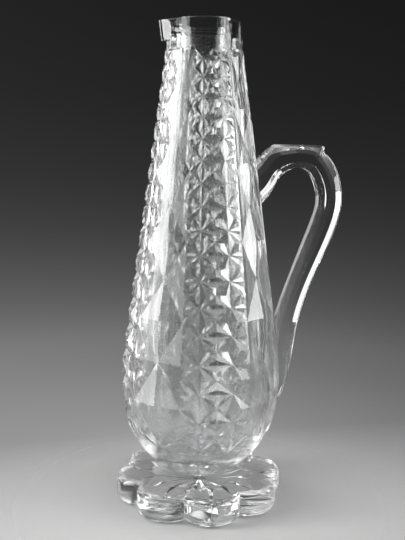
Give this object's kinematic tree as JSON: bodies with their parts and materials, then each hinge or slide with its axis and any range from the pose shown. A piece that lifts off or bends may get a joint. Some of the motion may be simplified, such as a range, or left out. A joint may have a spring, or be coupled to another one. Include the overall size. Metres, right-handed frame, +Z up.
{
  "type": "cut crystal jug",
  "caption": "Tall tapered cut crystal claret jug with a rounded belly, pouring lip, faceted loop handle with thumb rest and a lobed star-cut foot.",
  "frame": {"origin": "centre of the foot's resting face, on the axis of the body", "axes": "+Z up along the body's axis, +X from the axis toward the handle, so the pouring lip points to -X"},
  "size_m": [0.1499, 0.11, 0.305],
  "materials": {
    "crystal_body": "clear lead crystal, wheel cut and polished",
    "crystal_handle": "clear lead crystal, cut to flat facets and polished",
    "crystal_foot": "clear lead crystal, fire polished, star cut underneath"
  },
  "bodies": {
    "root": {"body": "crystal_body", "handle": "crystal_handle", "foot": "crystal_foot"}
  },
  "joints": []
}
